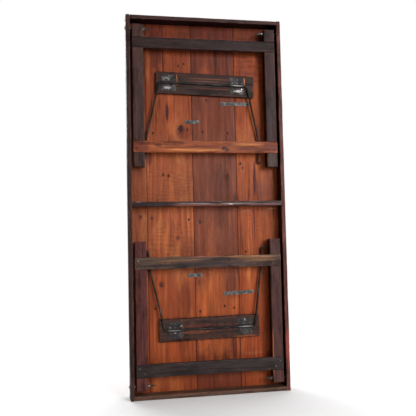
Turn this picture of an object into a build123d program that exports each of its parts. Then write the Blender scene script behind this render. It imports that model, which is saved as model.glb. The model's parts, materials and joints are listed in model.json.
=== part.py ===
from build123d import *
import os
from math import acos, asin, degrees

# A long folding table of reclaimed boards, with a leg frame folded into the rim at each end.
# It stands on its lower short end with the underside facing -Y and the tabletop facing +Y:
# X runs across the table and Z along it. The origin is the middle of the standing end.
# All dimensions are millimetres.

os.makedirs("parts", exist_ok=True)

# Top: four boards laid side by side over a rim of aprons
table_length = 1829
table_width = 772
plank_thickness = 22
plank_names = ("left_edge_plank", "left_plank", "centre_plank", "right_plank")
plank_joints = (-290, -63, 157)
plank_gap = 1
apron_depth = 70
apron_thickness = 20
rim_rounding = 5
middle_rail_thickness = 23
middle_rail_drop = 1.5
eased_edge = 1.5

# Leg frames: two legs and two stretchers let flush into the legs' outer faces
pivot_from_end = 59.5
pivot_above_planks = 39.5
leg_width = 54
leg_thickness = 43
leg_to_apron = 10
leg_reach = 677
leg_overrun = 20
leg_end_rounding = 6
stretcher_thickness = 22
stretchers = {
    "upper": {"pivot_stretcher": (71.5, 54), "foot_stretcher": (580, 57)},
    "lower": {"pivot_stretcher": (72, 61), "foot_stretcher": (572, 58)},
}

# Pivot bolts: carriage bolts through the side aprons, locked by a nut inside the apron
bolt_radius = 4
bolt_length = 121
bolt_head_radius = 10
bolt_head_height = 5
bolt_head_edge = 0.5
pivot_clearance = 0.1
nut_across_flats = 14
lock_nut_thickness = 7
end_nut_thickness = 8
washer_radius = 10
washer_thickness = 2
washer_play = 0.3

# Braces: one bent rod at each end, turning under two sheet straps nailed to a wooden block
block_length = 493
block_width = 110
block_thickness = 18
block_centre_x = {"upper": 5.5, "lower": 3}
brace_from_pivot = {"upper": 260.5, "lower": 250.5}
brace_centre_x = {"upper": -5, "lower": 5}
brace_tilt = {"upper": 1.5, "lower": 0.8}
rod_radius = 4.5
rod_above_block = 2.1
rod_half_width = 220.5
rod_arm = 383
rod_tip_above_planks = 12.3
rod_knee = 290
rod_knees = {"upper": (-280, 288), "lower": (-284, 266)}
rod_hook_half = 282
rod_pin_half = 298
rod_corner_radius = 15
rod_knee_radius = 60
rod_hook_radius = 7
latch_hole_radius = 5.5
latch_hole_depth = 20

# Straps
strap_half_spacing = 172
strap_width = 72
strap_length = 82
strap_sheet = 1.2
strap_play = 0.3
strap_corner = 4
strap_nails = ((-24, 14), (0, 14), (24, 14), (0, 34))

# Mending plates over the board joints: centre from the table's middle, length, lean and the
# screw holes along the plate
mending_plates = {
    "upper_long_mending_plate": ((159, 503.5), 151, 0.5, (-64, -27, 20, 62)),
    "upper_short_mending_plate": ((-63, 408.5), 71, 0, (-22, 22)),
    "lower_short_mending_plate": ((-62, -347.5), 71, 0, (-17, 18)),
    "lower_long_mending_plate": ((154, -439.5), 151, 2, (-64, -22, 30, 63)),
}
mending_plate_width = 18
mending_plate_sheet = 2
mending_plate_corner = 4
screw_head_radius = 3.6
screw_radius = 1.9
screw_length = 14

# Nails
nail_head_height = 1.2
nail_head_taper = 0.7
nail_radius = 1.5
strap_nail_head = 3.5
lap_nail_head = 4
lap_nail_length = 36
lap_nail_step = 12
top_nail_head = 3
top_nail_length = 50
top_nail_columns = (-322, -303, -240, -110, -20, 110, 205, 320)
rim_nail_head = 3.5
rim_nail_length = 52
rim_nail_heights = (-30, -8, 12)
block_nail_head = 3.5
block_nail_length = 32
block_nail_half_spacing = (110, 38)

# Places worked out from the dimensions above
top_y = (plank_thickness + apron_depth) / 2
planks_y = top_y - plank_thickness
rim_y = -top_y
pivot_y = planks_y - pivot_above_planks
leg_front_y = pivot_y - leg_thickness / 2
middle_z = table_length / 2
inside_x = table_width / 2 - apron_thickness
leg_x = inside_x - leg_to_apron - leg_width / 2
leg_inner_x = leg_x - leg_width / 2
leg_length = leg_reach + leg_overrun
rod_height = block_thickness + rod_above_block + rod_radius
rod_slope = degrees(asin((rod_height - rod_tip_above_planks) / rod_arm))
strap_bore = rod_radius + strap_play
rail_z = middle_z - middle_rail_drop

ENDS = {"upper": 1, "lower": -1}
SIDES = {"left": -1, "right": 1}


def save(piece, label):
    """Name a finished piece and write it."""
    piece.part.label = label
    export_step(piece.part, f"parts/{label}.step")


def along(end, distance):
    """Z of a place this far from an end's pivots, measured towards the middle of the table."""
    return middle_z + ENDS[end] * (middle_z - pivot_from_end - distance)


def board(label, size, centre):
    """A straight board with its four long edges eased."""
    long_axis = (Axis.X, Axis.Y, Axis.Z)[size.index(max(size))]
    with BuildPart() as piece:
        with Locations(centre):
            Box(*size)
        fillet(piece.edges().filter_by(long_axis), eased_edge)
    save(piece, label)


def nails(label, places, head_radius, length):
    """Nails in a group: each place is the seat of a head, with its Z axis out of the wood."""
    with BuildPart() as group:
        with Locations(*places):
            Cone(
                head_radius,
                head_radius * nail_head_taper,
                nail_head_height,
                align=(Align.CENTER, Align.CENTER, Align.MIN),
            )
            Cylinder(nail_radius, length, align=(Align.CENTER, Align.CENTER, Align.MAX))
    save(group, label)


def facing(direction, x, y, z):
    """A place at x, y, z whose Z axis points along a direction."""
    return Plane(origin=(x, y, z), z_dir=direction).location


# ---- Top ----

plank_edges = (-table_width / 2, *plank_joints, table_width / 2)
for name, low_x, high_x in zip(plank_names, plank_edges, plank_edges[1:]):
    left_x = low_x + (plank_gap / 2 if low_x in plank_joints else 0)
    right_x = high_x - (plank_gap / 2 if high_x in plank_joints else 0)
    board(
        name,
        (right_x - left_x, plank_thickness, table_length),
        ((left_x + right_x) / 2, planks_y + plank_thickness / 2, middle_z),
    )


def side_apron(side):
    """A side apron with its outer arris rounded and a hole for each pivot bolt."""
    sign = SIDES[side]
    centre_x = sign * (table_width - apron_thickness) / 2
    with BuildPart() as apron:
        with Locations((centre_x, (rim_y + planks_y) / 2, middle_z)):
            Box(apron_thickness, apron_depth, table_length)
        long_edges = apron.edges().filter_by(Axis.Z).group_by(Axis.Y)[0]
        fillet(long_edges.sort_by(Axis.X)[-1 if sign > 0 else 0], rim_rounding)
        bolt_holes = [facing((sign, 0, 0), centre_x, pivot_y, along(end, 0)) for end in ENDS]
        with Locations(*bolt_holes):
            Cylinder(bolt_radius, apron_thickness, mode=Mode.SUBTRACT)
    save(apron, f"{side}_apron")


for side in SIDES:
    side_apron(side)

for end, sign in ENDS.items():
    with BuildPart() as end_apron:
        with Locations((0, (rim_y + planks_y) / 2, middle_z + sign * (middle_z - apron_thickness / 2))):
            Box(2 * inside_x, apron_depth, apron_thickness)
        rim_edges = end_apron.edges().filter_by(Axis.X).group_by(Axis.Y)[0]
        fillet(rim_edges.sort_by(Axis.Z)[-1 if sign > 0 else 0], rim_rounding)
    save(end_apron, f"{end}_end_apron")

board(
    "middle_rail",
    (2 * inside_x, apron_depth, middle_rail_thickness),
    (0, (rim_y + planks_y) / 2, rail_z),
)


# ---- Braces: blocks, straps, rods ----

def brace_plane(end, height=0):
    """The plane of a brace block: X along the rod, Y along the table, Z out of the underside."""
    tilt = brace_tilt[end] * ENDS[end]
    origin = (brace_centre_x[end], planks_y, along(end, brace_from_pivot[end]))
    plane = Plane(origin=origin, x_dir=Vector(1, 0, 0).rotate(Axis.Y, tilt), z_dir=(0, -1, 0))
    return plane.offset(height)


def rod_plane(end, swing=0):
    """The plane that a brace rod is bent in, after it has swung out by an angle."""
    axis_plane = brace_plane(end, rod_height)
    return Plane(axis_plane.location * Rotation(ENDS[end] * (rod_slope - swing), 0, 0))


def brace_travel(end):
    """The swing that brings a rod's pins from rest to the middle of the opened legs."""
    return 180 - degrees(acos(brace_from_pivot[end] / rod_arm)) + rod_slope


def rod_pins(end):
    """Each pin end's X and Y in the rod's plane, set so that both pins reach the open legs alike."""
    arm_y = -ENDS[end] * rod_arm
    drift = rod_plane(end, brace_travel(end)).from_local_coords((0, arm_y, 0)).X
    return {side: (sign * rod_pin_half - drift, arm_y) for side, sign in SIDES.items()}


def latch_hole(end, side):
    """Where a pin meets its leg when the table stands, on that leg folded back to rest."""
    pin_x, pin_y = rod_pins(end)[side]
    pivot = Vector(0, pivot_y, along(end, 0))
    from_pivot = rod_plane(end, brace_travel(end)).from_local_coords((pin_x, pin_y, 0)) - pivot
    return pivot + from_pivot.rotate(Axis.X, 90 * ENDS[end])


def brace_rod(end):
    """One bent rod: a cross bar, two splayed arms and a pin turned out at each tip."""
    plane = rod_plane(end)
    toe = -ENDS[end]
    left_pin, right_pin = rod_pins(end).values()
    hook_inset = rod_pin_half - rod_hook_half
    left_knee, right_knee = rod_knees[end]
    bends = (
        ((left_pin[0] + hook_inset, left_pin[1]), rod_hook_radius),
        ((left_knee, toe * rod_knee), rod_knee_radius),
        ((-rod_half_width, 0), rod_corner_radius),
        ((rod_half_width, 0), rod_corner_radius),
        ((right_knee, toe * rod_knee), rod_knee_radius),
        ((right_pin[0] - hook_inset, right_pin[1]), rod_hook_radius),
    )
    with BuildPart() as rod:
        with BuildLine(plane) as centre_line:
            FilletPolyline(
                left_pin,
                *(point for point, _ in bends),
                right_pin,
                radius=[radius for _, radius in bends],
            )
        start = centre_line.line
        with BuildSketch(Plane(origin=start @ 0, z_dir=start % 0)):
            Circle(rod_radius)
        sweep(path=start)
    save(rod, f"{end}_brace_rod")


def brace_strap(end, side):
    """A sheet strap bent over the rod, lying on the block at both ends."""
    block_top = brace_plane(end, block_thickness)
    origin = block_top.from_local_coords((SIDES[side] * strap_half_spacing, 0, 0))
    saddle_height = rod_height - block_thickness
    saddle_radius = strap_bore + strap_sheet
    with BuildPart() as strap:
        with BuildSketch(Plane(origin=origin, x_dir=block_top.y_dir, z_dir=block_top.x_dir)):
            with Locations((0, strap_sheet / 2)):
                Rectangle(strap_length, strap_sheet)
            with Locations((0, saddle_height / 2)):
                Rectangle(2 * saddle_radius, saddle_height)
            with Locations((0, saddle_height)):
                Circle(saddle_radius)
                Circle(strap_bore, mode=Mode.SUBTRACT)
            with Locations((0, saddle_height / 2)):
                Rectangle(2 * strap_bore, saddle_height, mode=Mode.SUBTRACT)
        extrude(amount=strap_width / 2, both=True)
        corners = strap.edges().filter_by(Axis.Y)
        chamfer(corners.filter_by(lambda edge: edge.length < 2 * strap_sheet), strap_corner)
    save(strap, f"{end}_{side}_strap")


for end in ENDS:
    block_shift = block_centre_x[end] - brace_centre_x[end]
    with BuildPart() as block:
        with BuildSketch(brace_plane(end)):
            with Locations((block_shift, 0)):
                Rectangle(block_length, block_width)
        extrude(amount=block_thickness)
        fillet(block.faces().sort_by(Axis.Y)[0].edges(), eased_edge)
    save(block, f"{end}_brace_block")

    brace_rod(end)
    for side in SIDES:
        brace_strap(end, side)

    strap_top = brace_plane(end, block_thickness + strap_sheet).location
    nail_places = [
        strap_top * Location((side * strap_half_spacing + u, row * v, 0))
        for side in SIDES.values()
        for u, v in strap_nails
        for row in (-1, 1)
    ]
    nails(f"{end}_strap_nails", nail_places, strap_nail_head, block_thickness)

    block_face = brace_plane(end, block_thickness).location
    nail_u, nail_v = block_nail_half_spacing
    nail_places = [
        block_face * Location((column * nail_u, row * nail_v, 0))
        for column in (-1, 1)
        for row in (-1, 1)
    ]
    nails(f"{end}_block_nails", nail_places, block_nail_head, block_nail_length)


# ---- Leg frames ----

def leg(end, side):
    """A leg with housings for its stretchers, a pivot hole and a blind hole for the brace's pin."""
    sign = SIDES[side]
    latch = latch_hole(end, side)
    with BuildPart() as piece:
        with Locations((sign * leg_x, pivot_y, along(end, (leg_reach - leg_overrun) / 2))):
            Box(leg_width, leg_thickness, leg_length)
        fillet(piece.edges().filter_by(Axis.Z), eased_edge)
        pivot_end = piece.faces().sort_by(Axis.Z)[-1 if ENDS[end] > 0 else 0]
        fillet(pivot_end.edges().filter_by(Axis.X), leg_end_rounding)
        for distance, width in stretchers[end].values():
            with Locations((sign * leg_x, leg_front_y, along(end, distance))):
                Box(leg_width, 2 * stretcher_thickness, width, mode=Mode.SUBTRACT)
        with Locations(facing((sign, 0, 0), sign * leg_x, pivot_y, along(end, 0))):
            Cylinder(bolt_radius + pivot_clearance, leg_width, mode=Mode.SUBTRACT)
        with Locations(facing((sign, 0, 0), sign * leg_inner_x, latch.Y, latch.Z)):
            Cylinder(latch_hole_radius, 2 * latch_hole_depth, mode=Mode.SUBTRACT)
    save(piece, f"{end}_{side}_leg")


for end in ENDS:
    for side in SIDES:
        leg(end, side)
    for name, (distance, width) in stretchers[end].items():
        board(
            f"{end}_{name}",
            (2 * leg_x + leg_width, stretcher_thickness, width),
            (0, leg_front_y + stretcher_thickness / 2, along(end, distance)),
        )
    nail_places = [
        facing((0, -1, 0), side * (leg_x + step), leg_front_y, along(end, distance + step))
        for side in SIDES.values()
        for distance, _ in stretchers[end].values()
        for step in (-lap_nail_step, lap_nail_step)
    ]
    nails(f"{end}_lap_nails", nail_places, lap_nail_head, lap_nail_length)


# ---- Pivot bolts, nuts and washers ----

def pivot_axis(end, side, distance):
    """A place on a pivot axis this far in from the side apron's outer face, Z axis inwards."""
    sign = SIDES[side]
    return facing((-sign, 0, 0), sign * (table_width / 2 - distance), pivot_y, along(end, 0))


def rings(label, outline, thickness, distance):
    """Four equal nuts or washers, one on each pivot bolt, starting this far in."""
    with BuildPart() as group:
        for end in ENDS:
            for side in SIDES:
                with BuildSketch(Plane(pivot_axis(end, side, distance))):
                    outline()
                    Circle(bolt_radius, mode=Mode.SUBTRACT)
        extrude(amount=thickness)
    save(group, label)


def hex_nut():
    """The outline of a hexagon nut."""
    RegularPolygon(nut_across_flats / 2, 6, major_radius=False)


def washer():
    """The outline of a round washer."""
    Circle(washer_radius)


for end in ENDS:
    for side in SIDES:
        with BuildPart() as bolt:
            with Locations(pivot_axis(end, side, 0)):
                Cylinder(
                    bolt_head_radius,
                    bolt_head_height,
                    align=(Align.CENTER, Align.CENTER, Align.MAX),
                )
                Cylinder(bolt_radius, bolt_length, align=(Align.CENTER, Align.CENTER, Align.MIN))
            head_rim = bolt.edges().filter_by(GeomType.CIRCLE).sort_by(Axis.X)
            fillet(head_rim[0 if side == "left" else -1], bolt_head_height - bolt_head_edge)
        save(bolt, f"{end}_{side}_pivot_bolt")

washer_start = apron_thickness + leg_to_apron + leg_width + washer_play
rings("apron_lock_nuts", hex_nut, lock_nut_thickness, apron_thickness)
rings("pivot_washers", washer, washer_thickness, washer_start)
rings("pivot_nuts", hex_nut, end_nut_thickness, washer_start + washer_thickness)


# ---- Mending plates over the board joints ----

screw_places = []
for name, ((x, z), length, lean, holes) in mending_plates.items():
    seat = Plane(origin=(x, planks_y, middle_z + z), x_dir=(1, 0, 0), z_dir=(0, -1, 0))
    face = Plane(seat.location * Rotation(0, 0, lean)).offset(mending_plate_sheet)
    screw_seats = [face.location * Location((hole, 0, 0)) for hole in holes]
    with BuildPart() as plate:
        with BuildSketch(face) as outline:
            Rectangle(length, mending_plate_width)
            fillet(outline.vertices(), mending_plate_corner)
        extrude(amount=-mending_plate_sheet)
        with Locations(*screw_seats):
            Cone(
                screw_radius,
                screw_head_radius,
                mending_plate_sheet,
                align=(Align.CENTER, Align.CENTER, Align.MAX),
                mode=Mode.SUBTRACT,
            )
    save(plate, name)
    screw_places += screw_seats

with BuildPart() as screws:
    with Locations(*screw_places):
        Cone(
            screw_radius,
            screw_head_radius,
            mending_plate_sheet,
            align=(Align.CENTER, Align.CENTER, Align.MAX),
        )
        Cylinder(screw_radius, screw_length, align=(Align.CENTER, Align.CENTER, Align.MAX))
save(screws, "mending_plate_screws")


# ---- Nails that hold the boards and the rim ----

nail_rows = (apron_thickness / 2, rail_z, table_length - apron_thickness / 2)
top_nail_places = [
    facing((0, 1, 0), x, top_y - nail_head_height, z)
    for x in top_nail_columns
    for z in nail_rows
]
nails("top_nails", top_nail_places, top_nail_head, top_nail_length)

rim_nail_places = [
    facing((side, 0, 0), side * table_width / 2, y, z)
    for side in SIDES.values()
    for z in nail_rows
    for y in rim_nail_heights
]
nails("rim_nails", rim_nail_places, rim_nail_head, rim_nail_length)
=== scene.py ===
import json
import math
import bmesh
import bpy
import numpy as np
from mathutils import Matrix, Vector, noise


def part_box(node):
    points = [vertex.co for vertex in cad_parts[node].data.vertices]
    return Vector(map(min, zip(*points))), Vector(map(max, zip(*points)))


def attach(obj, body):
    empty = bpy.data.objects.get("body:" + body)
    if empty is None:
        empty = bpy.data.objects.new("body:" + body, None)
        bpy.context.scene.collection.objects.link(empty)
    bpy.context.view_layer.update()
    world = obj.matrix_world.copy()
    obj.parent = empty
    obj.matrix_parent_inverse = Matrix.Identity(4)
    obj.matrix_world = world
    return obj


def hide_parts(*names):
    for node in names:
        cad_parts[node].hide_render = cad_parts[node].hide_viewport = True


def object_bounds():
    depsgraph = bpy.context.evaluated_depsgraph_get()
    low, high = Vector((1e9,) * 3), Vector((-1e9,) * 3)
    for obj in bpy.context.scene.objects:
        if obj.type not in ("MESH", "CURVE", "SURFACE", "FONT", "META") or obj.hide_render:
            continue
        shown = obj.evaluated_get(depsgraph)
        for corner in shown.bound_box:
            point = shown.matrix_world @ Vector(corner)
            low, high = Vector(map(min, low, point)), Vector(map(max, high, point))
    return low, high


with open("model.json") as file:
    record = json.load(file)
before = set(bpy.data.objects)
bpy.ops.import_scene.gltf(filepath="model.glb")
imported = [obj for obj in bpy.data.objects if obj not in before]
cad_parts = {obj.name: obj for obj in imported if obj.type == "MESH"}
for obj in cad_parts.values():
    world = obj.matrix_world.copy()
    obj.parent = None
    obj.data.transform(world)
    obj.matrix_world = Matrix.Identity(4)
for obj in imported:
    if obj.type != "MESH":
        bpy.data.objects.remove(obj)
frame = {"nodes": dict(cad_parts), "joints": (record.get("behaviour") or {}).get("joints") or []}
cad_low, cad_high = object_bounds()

# The folding table's looks. The boards, rim, legs, stretchers and blocks are dense worn meshes in
# their CAD boxes, the bolts and nuts are threaded and chamfered, and the rest of the steel keeps its
# CAD meshes. Metres, in the CAD frame: X across the table, Y out of its face, Z along it.

MM = 0.001
MIDDLE = (cad_low.z + cad_high.z) / 2

LATCH_HOLE_RADIUS, LATCH_HOLE_DEPTH = 5.5 * MM, 20 * MM
LATCH_SEARCH = 180 * MM  # the latch hole is this near the middle of its leg
PIVOT_HOLE_RADIUS = 4.2 * MM
DRILL_OVERSHOOT = 4 * MM
BOLT_RADIUS, THREAD_PITCH, THREAD_DEPTH, THREAD_LENGTH = 4 * MM, 1.25 * MM, 0.7 * MM, 46 * MM
BOLT_HEAD_HEIGHT, BOLT_HEAD_BAND, BOLT_CHAMFER = 5 * MM, 0.5 * MM, 1 * MM
NUT_CHAMFER_SLOPE = 1.73
SLIVER = 0.01 * MM  # keeps two rings of points apart


# ---- Node helpers ----

def linear(red, green, blue):
    """An sRGB colour, 0 to 255, as linear RGBA."""
    shares = [c / 255 for c in (red, green, blue)]
    return (*(c / 12.92 if c <= 0.04045 else ((c + 0.055) / 1.055) ** 2.4 for c in shares), 1.0)


def shade(colour, factor):
    """An sRGB colour made darker or lighter."""
    return tuple(min(255, c * factor) for c in colour)


def shade_linear(colour, factor):
    """A linear colour made darker or lighter."""
    return (*(c * factor for c in colour[:3]), 1.0)


class Nodes:
    """One material's node tree. Each method adds nodes and returns an output socket."""

    def __init__(self, name):
        self.material = bpy.data.materials.new(name)
        self.material.use_nodes = True
        self.tree = self.material.node_tree
        self.tree.nodes.clear()
        self.place = self.add("ShaderNodeTexCoord", output="Object")

    def add(self, kind, inputs=None, output=0, **settings):
        node = self.tree.nodes.new(kind)
        for key, value in settings.items():
            setattr(node, key, value)
        for key, value in (inputs or {}).items():
            self.feed(node.inputs[key], value)
        return node.outputs[output]

    def feed(self, socket, value):
        if isinstance(value, bpy.types.NodeSocket):
            self.tree.links.new(value, socket)
        else:
            socket.default_value = value

    def math(self, operation, a, b=0.0):
        return self.add("ShaderNodeMath", {0: a, 1: b}, operation=operation)

    def plus(self, first, *others):
        total = first
        for value in others:
            total = self.math("ADD", total, value)
        return total

    def minus(self, a, b):
        return self.math("SUBTRACT", a, b)

    def times(self, a, b):
        return self.math("MULTIPLY", a, b)

    def vector(self, operation, a, b=(0, 0, 0)):
        return self.add("ShaderNodeVectorMath", {0: a, 1: b}, operation=operation)

    def length(self, a):
        return self.add("ShaderNodeVectorMath", {0: a}, output="Value", operation="LENGTH")

    def axis_value(self, axis, source=None):
        """The X, Y or Z of a vector, or of the place on the object."""
        return self.add("ShaderNodeSeparateXYZ", {0: source or self.place}, output=axis)

    def noise(self, place, scale, detail=3.0, roughness=0.55, output=0):
        inputs = {"Vector": place, "Scale": scale, "Detail": detail, "Roughness": roughness}
        return self.add("ShaderNodeTexNoise", inputs, output=output)

    def smooth(self, value, start, end, low=0.0, high=1.0):
        """A smooth step from low at start to high at end; start may be above end."""
        inputs = {"Value": value, "From Min": start, "From Max": end, "To Min": low, "To Max": high}
        return self.add("ShaderNodeMapRange", inputs, interpolation_type="SMOOTHSTEP")

    def mix(self, a, b, share, blend="MIX"):
        inputs = {0: share, 6: a, 7: b}
        return self.add("ShaderNodeMix", inputs, output=2, data_type="RGBA", blend_type=blend)

    def spot(self, place, ragged, centre, reach):
        """1 inside an ellipse in the XZ plane and 0 outside, with a ragged edge."""
        offset = self.vector("SUBTRACT", place, (centre[0], 0, centre[1]))
        scaled = self.vector("MULTIPLY", offset, (1 / reach[0], 0, 1 / reach[1]))
        share = min(1.0, 0.25 + min(reach) / 0.03)
        distance = self.plus(self.length(scaled), self.times(ragged, share))
        return self.smooth(distance, 1.25, 0.55)

    def bump(self, height, distance):
        return self.add("ShaderNodeBump", {"Height": height, "Distance": distance, "Strength": 1.0})

    def finish(self, colour, roughness, normal, metallic=0.0, specular=0.15):
        shader = {"Base Color": colour, "Roughness": roughness, "Normal": normal}
        shader.update({"Metallic": metallic, "Specular IOR Level": specular})
        self.add_output(self.add("ShaderNodeBsdfPrincipled", shader))
        return self.material

    def add_output(self, surface):
        node = self.tree.nodes.new("ShaderNodeOutputMaterial")
        self.tree.links.new(surface, node.inputs["Surface"])


# ---- Wood ----

# How a timber looks unless it says otherwise. Its knots (x, z, radius, tint), patches (x, z, reach in
# x, reach in z, tint, strength) and chatter (start, end, strength, step) are in millimetres from the
# origin. Its wear is (tint, reach in metres, strength). Tints and the mean colour are sRGB.
PLAIN_WOOD = dict(
    origin=(0.0, 0.0, MIDDLE), seed=0, sway=0.03, pith=(0.05, 0.06), lean=0.03, streak=0.8, figure=0.10,
    bump=0.0007, stains_behind=1.0, knots=(), patches=(), chatter=(),
)
RING_PITCH = 14 * MM
BROAD_SHARE, MIDDLE_SHARE, FINE_SHARE = 0.8, 0.6, 0.3
ROUGHEST, SMOOTHEST = 0.60, 0.38
DARK, LIGHT = (0.62, 0.55, 0.50), (1.24, 1.30, 1.24)


def tones(mean):
    """Dark, middle and light sRGB tones round a mean colour."""
    warm = [c * factor for c, factor in zip(mean, (1.02, 0.98, 0.94))]
    return [[c * f for c, f in zip(warm, factors)] for factors in (DARK, (1, 1, 1), LIGHT)]


class Wood(Nodes):
    """Worn wood that fills a box, with its grain along the longest side."""

    def __init__(self, name, low, high, look):
        super().__init__(name)
        self.low, self.high, self.look = low, high, {**PLAIN_WOOD, **look}
        self.axis = max(range(3), key=lambda i: high[i] - low[i])
        self.dark, self.mid, self.light = (linear(*tone) for tone in tones(look["mean"]))
        seed = self.look["seed"]
        self.shift = (seed * 1.37, seed * 0.71, seed * 2.11)
        self.moved = self.vector("ADD", self.place, self.shift)
        self.bend_grain()
        self.lay_grain()

    def layer(self, stretch, scale, detail, roughness, source=None, output=0):
        """Noise drawn out along the grain."""
        factors = [1.0, 1.0, 1.0]
        factors[self.axis] = stretch
        place = self.vector("ADD", source or self.bent, self.shift)
        return self.noise(self.vector("MULTIPLY", place, factors), scale, detail, roughness, output)

    def at(self, x, z):
        """A place in the XZ plane from millimetres off the origin."""
        origin = self.look["origin"]
        return origin[0] + x * MM, origin[2] + z * MM

    def bend_grain(self):
        """The place that the grain is read from: it sways, and is pushed aside at each knot."""
        sway = self.layer(0.27, 6.0, 2.0, 0.5, self.place, output=1)
        sway = self.vector("SUBTRACT", sway, (0.5, 0.5, 0.5))
        self.bent = self.vector("ADD", self.place, self.vector("MULTIPLY", sway, (self.look["sway"],) * 3))
        self.knots = []
        for x, z, radius, tint in self.look["knots"]:
            self.knots.append((linear(*tint), self.bend_round(self.at(x, z), radius * MM)))

    def bend_round(self, centre, radius):
        """Pushes the grain aside at a knot, and returns the distance from it in radii."""
        offset = self.vector("SUBTRACT", self.bent, (centre[0], 0, centre[1]))
        flat = [1 / radius, 0, 1 / radius]
        flat[self.axis] /= 1.35
        distance = self.length(self.vector("MULTIPLY", offset, flat))
        across = [1.0, 0.0, 1.0]
        across[self.axis] = 0.0
        pull = self.smooth(distance, 0.6, 3.6, -0.7, 0.0)
        aside = {0: self.vector("MULTIPLY", offset, across), "Scale": pull}
        self.bent = self.vector("ADD", self.bent, self.add("ShaderNodeVectorMath", aside, operation="SCALE"))
        return distance

    def lay_grain(self):
        """The layers of the grain, its lightness, and the noise that makes edges ragged."""
        self.broad = self.layer(0.20, 13.0, 4.0, 0.6)
        self.middle = self.layer(0.07, 62.0, 4.0, 0.6)
        self.fine = self.layer(0.035, 330.0, 3.0, 0.65)
        self.pores = self.smooth(self.layer(0.05, 520.0, 2.0, 0.7), 0.60, 0.74)
        self.patchy = self.noise(self.moved, 6.5, 4.0, 0.62)
        streaks = self.look["streak"]
        self.tone = self.plus(
            self.times(self.broad, BROAD_SHARE), self.times(self.middle, MIDDLE_SHARE),
            self.times(self.layer(0.05, 135.0, 3.0, 0.6), streaks), self.times(self.fine, FINE_SHARE),
            self.times(self.rings(), self.look["figure"]),
        )
        self.average = 0.5 * (BROAD_SHARE + MIDDLE_SHARE + streaks + FINE_SHARE)
        self.crumb = self.times(self.minus(self.noise(self.moved, 150.0, 4.0, 0.7), 0.5), 2.4)
        ragged = self.minus(self.layer(0.30, 34.0, 5.0, 0.72), 0.5)
        self.ragged = self.plus(self.times(ragged, 1.8), self.times(self.crumb, 0.35))

    def rings(self):
        """Year rings round the pith, which fade in and out."""
        across, behind = self.look["pith"]
        slope = [1.0, 1.0, 1.0]
        slope[self.axis] = self.look["lean"]
        offset = self.vector("SUBTRACT", self.bent, (across, behind, across))
        radius = self.length(self.vector("MULTIPLY", offset, slope))
        radius = self.plus(radius, self.times(self.middle, 0.012))
        wave = self.math("SINE", self.times(radius, 2 * math.pi / RING_PITCH))
        return self.times(wave, self.smooth(self.broad, 0.38, 0.62))

    def edge_distance(self):
        """Distance from the nearest arris of the box."""
        centre, half = (self.low + self.high) / 2, (self.high - self.low) / 2
        offset = self.vector("ABSOLUTE", self.vector("SUBTRACT", self.place, centre))
        depth = self.vector("SUBTRACT", half, offset)
        x, y, z = (self.axis_value(i, depth) for i in range(3))
        smallest = self.math("MINIMUM", self.math("MINIMUM", x, y), z)
        largest = self.math("MAXIMUM", self.math("MAXIMUM", x, y), z)
        return self.minus(self.minus(self.plus(x, y, z), smallest), largest)

    def grain_colour(self):
        """Dark, middle and light wood by the grain, with golden, darkened and mottled stretches."""
        tone, average, look = self.tone, self.average, self.look
        colour = self.mix(self.dark, self.mid, self.smooth(tone, average - 0.32, average - 0.02))
        colour = self.mix(colour, self.light, self.smooth(tone, average - 0.02, average + 0.36))
        if "gold" in look:
            golden = self.smooth(self.layer(0.35, 9.0, 4.0, 0.65), 0.50, 0.72, 0.0, 0.7)
            colour = self.mix(colour, linear(*look["gold"]), golden)
        colour = self.mix(colour, self.dark, self.smooth(self.patchy, 0.50, 0.72, 0.0, 0.30))
        if "mottle" in look:
            cloud = self.layer(0.30, 30.0, 5.0, 0.7, self.moved)
            dull, bright = shade_linear(self.dark, 0.55), shade_linear(self.light, 1.15)
            colour = self.mix(colour, dull, self.smooth(cloud, 0.50, 0.36, 0.0, look["mottle"]))
            colour = self.mix(colour, bright, self.smooth(cloud, 0.56, 0.70, 0.0, look["mottle"]))
        return colour

    def stained(self, colour):
        """Stains and pale stretches with the grain showing through, weaker behind the front face."""
        textured = self.smooth(self.tone, self.average - 0.32, self.average + 0.32)
        start, end = self.low.y + 4 * MM, self.low.y + 12 * MM
        depth = self.smooth(self.axis_value(1), start, end, 1.0, self.look["stains_behind"])
        for x, z, reach_x, reach_z, tint, strength in self.look["patches"]:
            inside = self.spot(self.bent, self.ragged, self.at(x, z), (reach_x * MM, reach_z * MM))
            grained = self.mix(linear(*shade(tint, 0.78)), linear(*shade(tint, 1.20)), textured)
            colour = self.mix(colour, grained, self.times(inside, self.times(depth, strength)))
        return self.mix(colour, shade_linear(self.dark, 0.45), self.times(self.pores, 0.5))

    def knotted(self, colour):
        """Knots: a dark heart in a halo with rings."""
        for tint, distance in self.knots:
            ripple = self.smooth(self.math("SINE", self.times(distance, 8.0)), -0.4, 0.9, 0.35, 0.7)
            uneven = self.plus(distance, self.times(self.ragged, 0.35), self.times(self.crumb, 0.55))
            colour = self.mix(colour, tint, self.times(self.smooth(uneven, 2.1, 1.0), ripple))
            heart = self.times(self.smooth(uneven, 1.25, 0.8), 0.9)
            colour = self.mix(colour, shade_linear(tint, 0.7), heart)
        return colour

    def saw_marks(self):
        """Masks of the bands across the grain that a saw or an adze left."""
        masks = []
        along = self.axis_value(self.axis)
        for start_mm, end_mm, strength, step in self.look["chatter"]:
            start, end = (self.look["origin"][self.axis] + place * MM for place in (start_mm, end_mm))
            swerve = self.plus(along, self.times(self.patchy, 0.09))
            wave = self.math("SINE", self.times(swerve, 2 * math.pi / (step * MM)))
            fade = (end - start) * 0.25
            inside = self.times(self.smooth(along, start, start + fade), self.smooth(along, end, end - fade))
            mask = self.times(inside, self.smooth(self.ragged, -0.25, 0.35))
            masks.append(self.times(mask, self.smooth(wave, -0.2, 0.9, 0.0, strength)))
        return masks

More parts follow.
